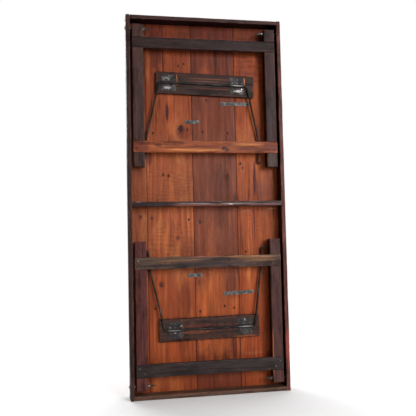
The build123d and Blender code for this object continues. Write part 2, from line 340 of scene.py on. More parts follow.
    def scratched(self, colour):
        """Pale flecks, where the wood is patchy."""
        if "flecks" not in self.look:
            return colour
        scratch = self.smooth(self.layer(0.25, 150.0, 3.0, 0.7, self.moved), 0.66, 0.74)
        scratch = self.times(scratch, self.smooth(self.patchy, 0.45, 0.62))
        return self.mix(colour, linear(*self.look["flecks"]), self.times(scratch, 0.8))

    def darkened(self, colour):
        """Deeper colour towards both ends, and painted shade on the face of a rim piece or leg that looks
        into the recess.
        """
        # Darker towards both ends of the timber.
        if "end_stain" in self.look:
            low, high = self.low[self.axis], self.high[self.axis]
            away = self.math("ABSOLUTE", self.minus(self.axis_value(self.axis), (low + high) / 2))
            away = self.plus(away, self.times(self.ragged, 0.08))
            reach = (high - low) / 2
            mask = self.smooth(away, 0.18 * reach, 0.60 * reach)
            colour = self.mix(colour, self.look["end_stain"], mask, "MULTIPLY")
        # Painted shade: the face in the recess is darkened nearly to black, as if no light reached it.
        if "inside" in self.look:
            colour = self.mix(colour, shade_linear(self.dark, 0.22), self.recess_shade_mask(*self.look["inside"]))
        return colour

    def recess_shade_mask(self, axis, face):
        """Where painted shade goes: 1 on the face that looks into the recess, and 0 by its front edge and
        elsewhere.
        """
        off = self.math("ABSOLUTE", self.minus(self.axis_value(axis), face))
        deep = self.smooth(self.axis_value(1), self.low.y + 2 * MM, self.low.y + 12 * MM, 0.0, 0.9)
        return self.times(self.smooth(off, 6 * MM, 2 * MM), deep)

    def worn(self, colour):
        """Rubbed arrises, dark seams at the edges and grime."""
        tint, reach, share = self.look["wear"]
        edge = self.edge_distance()
        uneven = self.times(self.noise(self.moved, 22.0, 5.0, 0.7), 3.6)
        rub = self.plus(self.times(edge, 1 / reach), uneven)
        colour = self.mix(colour, linear(*tint), self.smooth(rub, 2.3, 1.3, 0.0, share))
        if "seam" in self.look:
            seam = self.smooth(edge, 2.6 * MM, 0.8 * MM, 0.0, self.look["seam"])
            colour = self.mix(colour, shade_linear(self.dark, 0.25), seam)
        grime = self.smooth(self.noise(self.moved, 60.0, 4.0, 0.75), 0.60, 0.74, 0.0, 0.45)
        return self.mix(colour, shade_linear(self.dark, 0.4), grime)

    def relief(self, marks):
        """The height of the grain, its pores and its saw marks, as a normal."""
        height = self.plus(self.times(self.middle, 0.6), self.times(self.fine, 0.5))
        height = self.minus(height, self.times(self.pores, 0.35))
        height = self.plus(height, self.times(self.noise(self.moved, 80.0, 4.0, 0.6), 0.6))
        if marks:
            height = self.minus(height, self.times(self.plus(*marks), 0.8))
        return self.bump(height, self.look["bump"])


def wood(name, low, high, look):
    """A material of worn wood for one timber."""
    n = Wood(name, low, high, look)
    colour = n.knotted(n.stained(n.grain_colour()))
    marks = n.saw_marks()
    for mark in marks:
        colour = n.mix(colour, shade_linear(n.dark, 0.8), mark)
    colour = n.worn(n.darkened(n.scratched(colour)))
    polish = n.plus(n.middle, n.times(n.patchy, 0.6))
    return n.finish(colour, n.smooth(polish, 0.5, 1.1, ROUGHEST, SMOOTHEST), n.relief(marks))


# ---- Steel ----

def steel(name, tone, bright, rust, shine=0.5, metallic=0.75, scale=1.0, rusty=0.6, bright_spots=()):
    """Old mild steel: patina, bright worn spots and any painted highlights given with them, rust stains and
    pitting.
    """
    n = Nodes(name)
    broad = n.noise(n.place, 30.0 * scale, 4.0, 0.6)
    speck = n.noise(n.place, 170.0 * scale, 5.0, 0.7)
    scuff = n.noise(n.vector("MULTIPLY", n.place, (1.0, 1.0, 0.15)), 260.0 * scale, 3.0, 0.6)
    colour = n.mix(linear(*shade(tone, 0.6)), linear(*tone), n.smooth(broad, 0.36, 0.62))
    worn_and_highlit = n.times(n.smooth(n.plus(broad, n.times(scuff, 0.35)), 0.72, 0.90), shine)
    # The given spots brighten the steel; on the straps some of them are painted highlights.
    for centre, reach, strength in bright_spots:
        ragged = n.times(n.minus(n.noise(n.place, 150.0, 5.0, 0.75), 0.5), 4.5)
        worn_and_highlit = n.math("MAXIMUM", worn_and_highlit, n.times(n.spot(n.place, ragged, centre, reach), strength))
    colour = n.mix(colour, linear(*bright), worn_and_highlit)
    stain = n.times(n.smooth(speck, 0.52, 0.68), n.smooth(broad, 0.62, 0.42, 0.15, rusty))
    colour = n.mix(colour, linear(*rust), stain)
    normal = n.bump(n.plus(n.times(speck, 0.7), n.times(broad, 1.2)), 0.4 * MM)
    rough = n.plus(n.smooth(broad, 0.35, 0.7, 0.66, 0.46), n.times(stain, 0.3))
    rough = n.minus(rough, n.times(worn_and_highlit, 0.15))
    return n.finish(colour, rough, normal, n.minus(metallic, n.times(stain, metallic)), 0.4)


# ---- Timber meshes ----

def rounding(radius, distance):
    """How far a rounded end of this radius pulls the section in at a distance from the end."""
    left = np.clip(radius - distance, 0, radius)
    return radius - np.sqrt(np.maximum(radius * radius - left * left, 0))


def section(half_u, half_v, radii, count_u, count_v, arc=4):
    """Points round a rectangle with rounded corners, and their outward directions."""
    signs = ((1, 1), (-1, 1), (-1, -1), (1, -1))
    centres = [np.array((su * (half_u - r), sv * (half_v - r))) for (su, sv), r in zip(signs, radii)]
    points, outward = [], []
    for k in range(4):
        for i in range(arc + 1):
            angle = math.pi / 2 * (k + i / arc)
            direction = np.array((math.cos(angle), math.sin(angle)))
            points.append(centres[k] + radii[k] * direction)
            outward.append(direction)
        following = (k + 1) % 4
        start, goal = points[-1], centres[following] + radii[following] * direction
        count = count_u if k % 2 == 0 else count_v
        for i in range(1, count + 1):
            points.append(start + (goal - start) * i / (count + 1))
            outward.append(direction)
    return np.array(points), np.array(outward)


def ring_faces(rings, per_ring, start=0, loop=False):
    """Faces that join rings of points, with a cap at each end or back to the first ring."""
    faces = []
    for i in range(rings if loop else rings - 1):
        this, following = start + i * per_ring, start + (i + 1) % rings * per_ring
        for j in range(per_ring):
            k = (j + 1) % per_ring
            faces.append((this + j, this + k, following + k, following + j))
    if not loop:
        faces.append(tuple(range(start, start + per_ring)))
        faces.append(tuple(range(start + (rings - 1) * per_ring, start + rings * per_ring)))
    return faces


def smooth_faces(mesh):
    """Smooth shading, broken at real corners."""
    mesh.polygons.foreach_set("use_smooth", [True] * len(mesh.polygons))
    mesh.set_sharp_from_angle(angle=math.radians(42))


def mesh_piece(name, points, faces, body, node, material, matrix=None):
    """One closed mesh that stands for a CAD node."""
    mesh = bpy.data.meshes.new(name)
    mesh.from_pydata([tuple(p) for p in points], [], faces)
    piece = bpy.data.objects.new(name, mesh)
    bpy.context.scene.collection.objects.link(piece)
    if matrix is not None:
        piece.matrix_world = matrix
    outward = bmesh.new()
    outward.from_mesh(mesh)
    bmesh.ops.recalc_face_normals(outward, faces=outward.faces)
    outward.to_mesh(mesh)
    outward.free()
    smooth_faces(mesh)
    mesh.materials.append(material)
    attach(piece, body)
    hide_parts(node)
    return piece


def drill_bit(mouth, radius, depth):
    """A cylinder along X from just outside a hole's mouth; depth is negative towards -X."""
    overshoot = math.copysign(DRILL_OVERSHOOT, depth)
    middle = Vector(mouth) + Vector(((depth - overshoot) / 2, 0, 0))
    place = Matrix.Translation(middle) @ Matrix.Rotation(math.radians(90), 4, "Y")
    bit = bmesh.new()
    bmesh.ops.create_cone(bit, cap_ends=True, segments=36, radius1=radius, radius2=radius,
                          depth=abs(depth) + abs(overshoot), matrix=place)
    mesh = bpy.data.meshes.new("drill")
    bit.to_mesh(mesh)
    bit.free()
    tool = bpy.data.objects.new("drill", mesh)
    bpy.context.scene.collection.objects.link(tool)
    return tool


def drill(piece, mouth, radius, depth):
    """Cuts a round hole along X into a timber."""
    tool = drill_bit(mouth, radius, depth)
    cut = piece.modifiers.new("hole", "BOOLEAN")
    cut.operation = "DIFFERENCE"
    cut.solver = "EXACT"
    cut.object = tool
    ready = piece.evaluated_get(bpy.context.evaluated_depsgraph_get())
    drilled = bpy.data.meshes.new_from_object(ready)
    split_faces = bmesh.new()
    split_faces.from_mesh(drilled)
    bmesh.ops.triangulate(split_faces, faces=[f for f in split_faces.faces if len(f.verts) > 4])
    split_faces.to_mesh(drilled)
    split_faces.free()
    piece.modifiers.clear()
    piece.data = drilled
    bpy.data.objects.remove(tool)
    smooth_faces(drilled)


# Which axes a section's u and v and a timber's length run along, by the axis of its length.
ORDER = {2: (0, 1, 2), 0: (2, 1, 0)}
PLAIN_SHAPE = dict(
    step=0.007, grid=0.008, ends=((0.0012, 0.0012), (0.0012, 0.0012)), housings=(), arris=(0.002,) * 4,
    rough_arris=0.0015, scallop=None, wave=0.0005, bulge=None,
)
GRID_V = 8 * MM
SMALLEST_ARRIS = 0.6 * MM


def stations_along(low, high, shape):
    """Places along a timber: even steps, close at its rounded ends and both sides of each housing."""
    places = list(np.linspace(low, high, int((high - low) / shape["step"]) + 1))
    for radii, start, sign in ((shape["ends"][0], low, 1), (shape["ends"][1], high, -1)):
        for radius in radii:
            places += [start + sign * radius * (1 - math.cos(math.radians(t))) for t in (25, 50, 75, 90)]
    for start, end, _ in shape["housings"]:
        places += [start - 1e-6, start + 1e-6, end - 1e-6, end + 1e-6]
    return sorted(set(round(place, 7) for place in places if low <= place <= high))


def arris_radii(a, shape, seed):
    """The radii of the four long edges at one place: uneven and nicked, or scalloped by an adze."""
    radii = []
    for k in range(4):
        wander = noise.noise(Vector((a * 9, seed + k * 5.1, 0)))
        nick = max(0.0, noise.noise(Vector((a * 17, seed + k * 3.7, 4))) - 0.25) * 2.0
        radius = shape["arris"][k] * (1 + 0.45 * wander) + shape["rough_arris"] * nick
        if shape["scallop"] and k in (2, 3):
            depth, pitch = shape["scallop"]
            radius += depth * abs(math.sin(math.pi * (a / pitch + 0.3 * k)))
        radii.append(max(SMALLEST_ARRIS, radius))
    return radii


def ring_at(a, low, high, shape, seed):
    """The section at one place along a timber; low and high are in u, v and length."""
    from_ends = (a - low[2], high[2] - a)
    pull_u, pull_v = (sum(rounding(end[i], d) for end, d in zip(shape["ends"], from_ends)) for i in (0, 1))
    front = low[1]
    for start, end, depth in shape["housings"]:
        if start < a < end:
            front = low[1] + depth
    half_u, half_v = (high[0] - low[0]) / 2 - pull_u, (high[1] - front) / 2 - pull_v
    limit = 0.96 * min(half_u, half_v)
    radii = [min(r + 0.3 * max(pull_u, pull_v), limit) for r in arris_radii(a, shape, seed)]
    count_u = max(2, int((high[0] - low[0]) / shape["grid"]))
    count_v = max(2, int((high[1] - low[1]) / GRID_V))
    points, outward = section(half_u, half_v, radii, count_u, count_v)
    return points + ((low[0] + high[0]) / 2, (front + high[1]) / 2), outward


def weathered(u, v, a, outward, shape, seed):
    """A point of the surface moved in by shallow waves and dents."""
    place = Vector((u, v, a))
    calm = noise.noise(place * 7 + Vector((seed, 0, 0)))
    lively = noise.noise(place * 45 + Vector((0, seed, 0)))
    depth = shape["wave"] * (0.5 + 0.5 * calm + 0.7 * max(0.0, lively))
    return u - outward[0] * depth, v - outward[1] * depth, depth


def swell(across, thickness_share, depth, bulge):
    """How far a board's side face swells outwards to meet its neighbour."""
    middle = 1 - abs(2 * thickness_share - 1)
    share = min(1.0, max(0.0, (middle - 0.3) * 4)) * abs(across)
    return (bulge[1] if across > 0 else -bulge[0]) * share + across * depth * share


def timber(name, node, body, look, shape, box=None, matrix=None):
    """A worn timber in a CAD node's box: uneven arrises, dents and a slightly wavy surface."""
    shape = {**PLAIN_SHAPE, **shape}
    low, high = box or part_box(node)
    order = ORDER[max((0, 2), key=lambda i: high[i] - low[i])]
    own_low, own_high = ([corner[i] for i in order] for corner in (low, high))
    seed = look.get("seed", 0) * 7.3
    placed = []
    stations = stations_along(own_low[2], own_high[2], shape)
    for a in stations:
        points, outward = ring_at(a, own_low, own_high, shape, seed)
        for (u, v), direction in zip(points, outward):
            u, v, depth = weathered(u, v, a, direction, shape, seed)
            if shape["bulge"]:
                thickness_share = (v - own_low[1]) / (own_high[1] - own_low[1])
                u += swell(direction[0], thickness_share, depth, shape["bulge"])
            placed.append([(u, v, a)[order.index(i)] for i in range(3)])
    faces = ring_faces(len(stations), len(points))
    material = wood(f"{name}_wood", low, high, look)
    return mesh_piece(name, placed, faces, body, node, material, matrix)


# ---- Boards ----

KNOT = (58, 26, 18)
SMUDGE = (92, 48, 44)


def boards():
    """The four boards of the top."""
    gap = (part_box("left_plank")[0].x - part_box("left_edge_plank")[1].x) / 2
    looks = {
        "left_edge_plank": dict(
            mean=(142, 76, 48), seed=1, pith=(-0.36, 0.09), gold=(182, 112, 64),
            knots=[(-321, -65, 6, SMUDGE)],
            patches=[
                (-330, 640, 50, 260, (88, 38, 28), 0.8), (-325, 180, 30, 50, (120, 58, 36), 0.6),
                (-330, -560, 50, 200, (110, 52, 34), 0.5),
            ],
            chatter=[(-60, 200, 0.25, 15)],
        ),
        "left_plank": dict(
            mean=(150, 80, 49), seed=2, pith=(-0.17, 0.10), lean=0.05, gold=(198, 122, 70),
            knots=[
                (-118, 373, 12, (66, 30, 34)), (-88, 366, 5, KNOT),
                (-211, 149, 4, KNOT), (-184, 144, 5, KNOT), (-268, -70, 4.5, SMUDGE), (-87, -73, 4, KNOT),
                (-145, -165, 7, (124, 62, 46)), (-230, -395, 9, (100, 50, 36)),
                (-261, -508, 4, KNOT), (-259, 349, 4, KNOT), (-102, 704, 3.5, KNOT), (-127, 693, 3.5, KNOT),
            ],
            patches=[
                (-240, 760, 35, 120, (90, 38, 28), 0.75), (-203, 730, 3.5, 170, (58, 26, 26), 0.95),
                (-225, 620, 16, 70, (104, 46, 30), 0.7), (-185, 452, 8, 50, (58, 26, 26), 0.95),
                (-276, 225, 16, 45, (98, 48, 40), 0.85), (-100, 345, 35, 35, (128, 58, 34), 0.8),
                (-240, -330, 30, 100, (150, 74, 36), 0.6), (-110, -470, 30, 100, (112, 54, 32), 0.7),
                (-168, -700, 50, 50, (150, 70, 34), 0.6), (-150, 480, 4, 120, (112, 50, 32), 0.7),
            ],
            chatter=[(-20, 200, 0.42, 17), (-320, -60, 0.42, 21)],
        ),
        "centre_plank": dict(
            mean=(118, 62, 44), seed=3, pith=(0.03, 0.14), gold=(136, 80, 56),
            knots=[(-32, -84, 6, (72, 44, 42)), (109, 139, 8, (84, 40, 32)),
                   (-37, -523, 4, KNOT), (83, -503, 4, KNOT), (128, -515, 4, KNOT),
                   (-13, 355, 4, KNOT), (119, 356, 4, KNOT), (11, 517, 4, KNOT)],
            patches=[
                (45, -530, 140, 250, (174, 94, 51), 0.9), (60, 740, 10, 60, (72, 30, 26), 0.8),
                (-40, 700, 6, 100, (84, 38, 30), 0.6), (120, 700, 6, 100, (76, 32, 26), 0.6),
                (0, 640, 30, 50, (150, 78, 46), 0.6), (121, -402, 35, 70, (106, 54, 40), 0.8),
                (126, -690, 14, 85, (98, 48, 34), 0.9), (148, 20, 8, 40, (70, 34, 30), 0.8),
                (60, 60, 80, 160, (104, 58, 46), 0.6),
            ],
        ),
        "right_plank": dict(
            mean=(154, 78, 43), seed=4, pith=(0.30, 0.08), lean=0.06, gold=(194, 114, 62),
            knots=[(182, 200, 5, KNOT), (192, 180, 5, (110, 54, 36)),
                   (191, -241, 4, KNOT), (330, 640, 6, (92, 42, 30))],
            patches=[
                (250, 122, 7, 100, (84, 36, 40), 0.95), (243, -80, 3.5, 130, (84, 38, 34), 0.9),
                (275, 70, 20, 50, (126, 62, 46), 0.7), (260, 838, 100, 12, (104, 38, 26), 0.8),
                (300, 800, 60, 15, (90, 34, 26), 0.7), (320, 560, 35, 140, (104, 48, 34), 0.7),
                (202, -37, 30, 7, (188, 118, 84), 0.45), (332, -28, 25, 5, (200, 134, 102), 0.5),
                (320, -560, 40, 200, (120, 50, 28), 0.7), (205, -340, 12, 70, (204, 118, 58), 0.8),
                (230, -470, 60, 120, (176, 90, 46), 0.6), (250, 520, 50, 160, (180, 96, 48), 0.6),
                (224, -739, 50, 8, (170, 100, 74), 0.6),
            ],
            chatter=[(-160, -20, 0.30, 19), (580, 800, 0.45, 30)],
        ),
    }
    first, last = "left_edge_plank", "right_plank"
    for node, look in looks.items():
        look.update(wear=((160, 96, 60), 0.005, 0.25), seam=0.3 if node == first else 0.45, bump=0.0006)
        # Each board is made darker towards both ends.
        look.update(streak=0.5, figure=0.14, stains_behind=0.35, end_stain=(0.82, 0.67, 0.55, 1.0))
        # Painted shadow: a dark band across the top ends of the boards under the upper end apron, together
        # with darker old varnish there.
        look["patches"].append((0, 872, 600, 50, (94, 38, 22), 0.70))
        shape = dict(
            step=0.012, grid=0.011, arris=(0.0011,) * 4, rough_arris=0.0012, wave=0.0004,
            bulge=(0.0 if node == first else gap, 0.0 if node == last else gap),
        )
        timber(f"{node}_worn", node, "tabletop", look, shape)


# ---- Rim ----

def rim():
    """Side aprons, end aprons and the middle rail."""
    crisp, soft = 0.0015, 0.0040
    looks = {
        "left_apron": dict(mean=(54, 36, 34), wear=((146, 100, 88), 0.005, 0.7), seed=11),
        "right_apron": dict(
            mean=(88, 50, 46), wear=((176, 112, 104), 0.005, 0.8), seed=12,
            patches=[(376, -700, 12, 100, (132, 62, 50), 0.6)],
        ),
        "upper_end_apron": dict(mean=(58, 37, 36), wear=((156, 96, 88), 0.005, 0.7), seed=13),
        "lower_end_apron": dict(mean=(88, 66, 56), wear=((150, 92, 80), 0.005, 0.7), seed=14),
        "middle_rail": dict(
            mean=(64, 46, 44), wear=((158, 128, 120), 0.006, 0.8), seed=15,
            patches=[
                (-40, -9, 160, 6, (138, 84, 70), 0.7), (-60, -2, 100, 3, (160, 146, 146), 0.7),
                (110, -4, 12, 4, (204, 186, 180), 0.6), (150, -2, 100, 3, (170, 150, 148), 0.6),
                (280, -8, 100, 7, (136, 100, 98), 0.6), (-260, -4, 100, 12, (46, 38, 42), 0.8),
            ],
        ),
    }
    corners = {
        "left_apron": (crisp, crisp, soft, 0.0025), "right_apron": (crisp, crisp, 0.0025, soft),
        "upper_end_apron": (crisp, crisp, 0.0025, soft), "lower_end_apron": (crisp, crisp, soft, 0.0025),
        "middle_rail": (crisp, crisp, 0.0040, 0.0040),
    }
    # The faces that get painted shade: the inner faces of the side aprons and of the upper end apron.
    inner_faces = {
        "left_apron": (0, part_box("left_apron")[1].x), "right_apron": (0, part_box("right_apron")[0].x),
        "upper_end_apron": (2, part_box("upper_end_apron")[0].z),
    }
    for node, look in looks.items():
        look.update(sway=0.012, flecks=(150, 84, 56), mottle=0.8, streak=1.0)
        if node in inner_faces:
            look["inside"] = inner_faces[node]
        shape = dict(arris=corners[node], rough_arris=0.0025, step=0.009, wave=0.0010)
        timber(f"{node}_worn", node, "tabletop", look, shape)


# ---- Leg frames ----

def latch_hole(node, inner_x):
    """The mouth of the blind hole on a leg's inner face, read from the CAD mesh."""
    low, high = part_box(node)
    edge_points = []
    for vertex in frame["nodes"][node].data.vertices:
        x, y, z = vertex.co
        on_face = abs(x - inner_x) < 0.1 * MM and low.y + 4 * MM < y < high.y - 2 * MM
        if on_face and abs(z - (low.z + high.z) / 2) < LATCH_SEARCH:
            edge_points.append((y, z))
    y, z = (np.min(edge_points, axis=0) + np.max(edge_points, axis=0)) / 2
    return inner_x, y, z


def leg_housings(node):
    """Where the two stretchers are let into a leg: start, end and depth of each housing."""
    clearance = 0.4 * MM
    housings = []
    for kind in ("pivot_stretcher", "foot_stretcher"):
        low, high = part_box(f"{node.split('_')[0]}_{kind}")
        housings.append((low.z - clearance, high.z + clearance, high.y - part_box(node)[0].y))
    return housings


def drill_leg(piece, node):
    """The blind hole for the brace's hook, and the hole through the leg for its pivot bolt."""
    low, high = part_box(node)
    inner_x, inward = (high.x, -1) if node.endswith("left_leg") else (low.x, 1)
    drill(piece, latch_hole(node, inner_x), LATCH_HOLE_RADIUS, inward * LATCH_HOLE_DEPTH)
    bolt_low, bolt_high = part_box(node.replace("leg", "pivot_bolt"))
    bolt_middle = (bolt_low + bolt_high) / 2
    pivot = (inner_x - inward * DRILL_OVERSHOOT, bolt_middle.y, bolt_middle.z)
    drill(piece, pivot, PIVOT_HOLE_RADIUS, inward * (high.x - low.x + 2 * DRILL_OVERSHOOT))


def legs():
    """The four legs, with housings for the stretchers."""
    looks = {
        "upper_left_leg": dict(mean=(67, 45, 43), seed=21),
        "upper_right_leg": dict(
            mean=(57, 37, 37), seed=22, patches=[(330, 210, 30, 40, (84, 66, 60), 0.5)],
        ),
        "lower_left_leg": dict(mean=(82, 43, 42), seed=23),
        "lower_right_leg": dict(
            mean=(69, 44, 43), seed=24, patches=[(305, -730, 3, 120, (176, 92, 56), 0.8)],
        ),
    }
    for node, look in looks.items():
        look.update(wear=((132, 80, 58), 0.005, 0.6), flecks=(148, 84, 50), mottle=0.7, streak=1.0, sway=0.01)
        # Painted shade on the inner face of each right leg.
        if node.endswith("right_leg"):
            look["inside"] = (0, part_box(node)[0].x)
        end = node.split("_")[0]
        pivot_end, foot_end = (0.001, 0.006), (0.0015, 0.0015)
        ends = (foot_end, pivot_end) if end == "upper" else (pivot_end, foot_end)
        shape = dict(
            housings=leg_housings(node), ends=ends, arris=(0.0018, 0.0018, 0.003, 0.003),
            rough_arris=0.0035, wave=0.0008, step=0.006,
        )
        piece = timber(f"{node}_worn", node, f"{end}_leg_frame", look, shape)
        drill_leg(piece, node)


def stretchers():
    """The four stretchers let into the legs."""
    looks = {
        "upper_pivot_stretcher": dict(mean=(46, 31, 31), seed=31, wear=((116, 70, 54), 0.005, 0.5)),
        "upper_foot_stretcher": dict(
            mean=(138, 74, 45), seed=32, wear=((188, 116, 74), 0.006, 0.45), gold=(184, 110, 66),
            knots=[(84, 268, 8, (84, 50, 46)), (100, 262, 6, (96, 52, 40))],
            patches=[
                (-330, 275, 55, 30, (104, 48, 36), 0.8), (336, 275, 50, 30, (108, 50, 36), 0.8),
                (-244, 284, 22, 10, (76, 38, 24), 0.85), (-60, 263, 140, 8, (196, 122, 70), 0.7),
                (-20, 277, 120, 5, (104, 44, 26), 0.8), (190, 285, 80, 7, (196, 120, 66), 0.6),
                (230, 262, 80, 10, (112, 56, 38), 0.7),
            ],
        ),
        "lower_foot_stretcher": dict(
            mean=(72, 55, 52), seed=33, wear=((158, 112, 84), 0.006, 0.65), gold=(104, 74, 54), mottle=0.95,
            knots=[(96, -277, 5, (60, 34, 30))],
            patches=[
                (200, -261, 150, 6, (170, 118, 80), 0.75), (250, -274, 100, 12, (124, 86, 58), 0.65),
                (-100, -292, 280, 9, (44, 36, 38), 0.8), (-143, -270, 120, 4, (124, 94, 72), 0.65),
                (0, -259, 100, 4, (152, 88, 72), 0.6), (60, -272, 50, 10, (44, 36, 36), 0.7),
                (-300, -270, 60, 14, (84, 68, 56), 0.6),
            ],
        ),
        "lower_pivot_stretcher": dict(
            mean=(50, 41, 42), seed=34, wear=((108, 66, 58), 0.005, 0.5),
            patches=[
                (190, -832, 140, 22, (92, 50, 50), 0.7), (-325, -840, 30, 30, (60, 48, 46), 0.6),
                (-100, -835, 220, 30, (40, 38, 42), 0.7),
            ],
        ),
    }
    for node, look in looks.items():
        end = node.split("_")[0]
        look.setdefault("mottle", 0.6)
        look.update(flecks=(150, 90, 58), streak=1.0)
        shape = dict(arris=(0.001, 0.001, 0.003, 0.003), rough_arris=0.004, wave=0.0009)
        timber(f"{node}_worn", node, f"{end}_leg_frame", look, shape)


# ---- Brace blocks ----

def block_matrix(end):
    """Where a brace block stands, with X along its rod, and half its true size."""
    joint = next(j for j in frame["joints"] if j["name"] == f"{end}_brace_swing")
    along_rod = Vector(joint["axis"])
    along_rod = along_rod if along_rod.x > 0 else -along_rod
    up = Vector((0, 1, 0))
    axes = Matrix((along_rod, up, along_rod.cross(up))).transposed().to_4x4()
    low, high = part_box(f"{end}_brace_block")
    size = high - low
    c, s = abs(along_rod.x), abs(along_rod.z)
    length = (size.x * c - size.z * s) / (c * c - s * s)
    width = (size.z * c - size.x * s) / (c * c - s * s)
    half = Vector((length, size.y, width)) / 2
    return Matrix.Translation((low + high) / 2) @ axes, half


def blocks():
    """The two blocks that carry the brace rods."""
    looks = {
        "upper": dict(
            mean=(55, 35, 30), seed=41, wear=((150, 84, 50), 0.005, 0.45), flecks=(140, 84, 58),
            patches=[
                (20, 30, 120, 4, (108, 60, 42), 0.6), (0, 17, 100, 3, (112, 66, 46), 0.6),
                (50, 24, 100, 3, (40, 26, 24), 0.7), (50, -18, 120, 4, (108, 54, 38), 0.5),
                (-20, -36, 140, 4, (40, 27, 25), 0.6), (-147, 22, 2.5, 30, (196, 116, 62), 0.6),
                (198, 22, 5, 20, (210, 132, 76), 0.8), (-210, 0, 25, 60, (48, 34, 32), 0.6),
                (-50, -30, 12, 12, (44, 26, 22), 0.7), (30, -30, 12, 12, (44, 26, 22), 0.7),
            ],
        ),
        "lower": dict(
            mean=(64, 41, 36), seed=42, wear=((120, 76, 58), 0.005, 0.5), flecks=(128, 80, 62),
            chatter=[(-240, 240, 0.7, 34)],
            patches=[
                (-134, 0, 2.5, 50, (196, 116, 62), 0.65), (-50, 16, 80, 10, (124, 60, 48), 0.45),
                (-60, -18, 80, 10, (126, 68, 46), 0.5), (60, 30, 120, 12, (52, 38, 36), 0.6),
                (180, -50, 60, 6, (120, 66, 40), 0.7),
            ],
        ),
    }
    for end, look in looks.items():
        matrix, half = block_matrix(end)
        look.update(origin=(0.0, 0.0, 0.0), mottle=0.95, streak=1.1)
        shape = dict(
            arris=(0.001, 0.001, 0.003, 0.003), rough_arris=0.003, wave=0.0008,
            ends=((0.003, 0.002), (0.003, 0.002)), scallop=(0.008, 0.038) if end == "lower" else None,
        )
        node = f"{end}_brace_block"
        timber(f"{node}_worn", node, "tabletop", look, shape, (-half, half), matrix)


# ---- Steel pieces ----

def assign(material, *names):
    """Gives CAD nodes a material."""
    for name in names:
        mesh = frame["nodes"][name].data
        mesh.materials.clear()
        mesh.materials.append(material)


def turned(distance, radii, centre, direction):
    """One ring of points round an axis along X, from the radii at equal angles."""
    angles = np.linspace(0, 2 * math.pi, len(radii), endpoint=False)
    x = np.full(len(radii), centre[0] + direction * distance)
    return np.stack((x, centre[1] + radii * np.cos(angles), centre[2] + radii * np.sin(angles)), axis=1)


def bolt_head(radius, count):
    """Rings of a bolt's domed head: the distance from its top and the radii."""
    dome = BOLT_HEAD_HEIGHT - BOLT_HEAD_BAND
    sphere = (radius ** 2 + dome ** 2) / (2 * dome)
    rings = []
    for distance in np.linspace(2 * SLIVER, dome, 9):
        rings.append((distance, np.full(count, math.sqrt(sphere ** 2 - (sphere - distance) ** 2))))
    rings.append((BOLT_HEAD_HEIGHT, np.full(count, radius)))
    rings.append((BOLT_HEAD_HEIGHT + SLIVER, np.full(count, BOLT_RADIUS)))
    return rings


def bolt_thread(length, count):
    """Rings of a bolt's thread, which runs out at its start and is chamfered at its end."""
    start = length - THREAD_LENGTH
    turns = np.linspace(0, 1, count, endpoint=False)
    rings = []
    for distance in np.arange(start, length - 1e-6, THREAD_PITCH / 6):
        across = np.abs(2 * ((distance / THREAD_PITCH - turns) % 1) - 1)
        depth = THREAD_DEPTH * np.clip((across - 0.1) / 0.75, 0, 1)
        depth = depth * min(1.0, (distance - start) / THREAD_PITCH)
        chamfer = 0.8 * max(0.0, BOLT_CHAMFER - (length - distance))
        rings.append((distance, BOLT_RADIUS - depth - chamfer))
    rings.append((length, np.full(count, BOLT_RADIUS - THREAD_DEPTH - 0.6 * BOLT_CHAMFER)))
    return rings


def bolt(node, material):
    """A carriage bolt: domed head, plain shank and a thread cut on its inner end."""
    low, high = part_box(node)
    middle, count = (low + high) / 2, 28
    start_x, direction = (low.x, 1) if middle.x < 0 else (high.x, -1)
    rings = bolt_head((high.y - low.y) / 2, count) + bolt_thread(high.x - low.x, count)
    centre = (start_x, middle.y, middle.z)
    points = np.concatenate([turned(distance, radii, centre, direction) for distance, radii in rings])
    faces = ring_faces(len(rings), count)
    mesh_piece(f"{node}_threaded", points, faces, "tabletop", node, material)


def nut_rings(low, high, count):
    """Rings of a hexagon nut with chamfered corners and a plain bore, between two corners."""
    thickness, size_y, size_z = high - low
    half_flats, turn = (size_y / 2, 0) if size_y < size_z else (size_z / 2, math.pi / 6)
    angles = np.linspace(0, 2 * math.pi, count, endpoint=False)
    from_flat = (angles + turn + math.pi / 6) % (math.pi / 3) - math.pi / 6
    hexagon = half_flats / np.cos(from_flat)
    rings = []
    for distance in (0.0, 0.3 * MM, 0.6 * MM, 0.9 * MM):
        chamfer = half_flats * 0.97 + distance * NUT_CHAMFER_SLOPE
        rings.append((distance, np.minimum(hexagon, chamfer)))
    rings += [(thickness - distance, radii) for distance, radii in reversed(rings)]
    bore = np.full(count, BOLT_RADIUS)
    return rings + [(thickness, bore), (0.0, bore)]


def nuts(node, material):
    """Four nuts, one on each pivot bolt."""
    count = 48
    places = np.array([vertex.co for vertex in frame["nodes"][node].data.vertices])
    points, faces = [], []
    for end_sign in (1, -1):
        for side_sign in (1, -1):
            mine = places[(places[:, 0] * side_sign > 0) & ((places[:, 2] - MIDDLE) * end_sign > 0)]
            low, high = mine.min(axis=0), mine.max(axis=0)
            rings = nut_rings(low, high, count)
            centre = (low[0], (low[1] + high[1]) / 2, (low[2] + high[2]) / 2)
            faces += ring_faces(len(rings), count, sum(len(p) for p in points), loop=True)
            points += [turned(distance, radii, centre, 1) for distance, radii in rings]
    points = np.concatenate(points)
    mesh_piece(f"{node}_chamfered", points, faces, "tabletop", node, material)


def strap_bright_spots(end, side, spots):
    """Bright spots on one strap, from millimetres off its middle; those along its bend over the rod are
    painted highlights.
    """
    low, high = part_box(f"{end}_{side}_strap")
    x, z = (low.x + high.x) / 2, (low.z + high.z) / 2
    return [((x + u * MM, z + v * MM), (ru * MM, rv * MM), strength) for u, v, ru, rv, strength in spots]


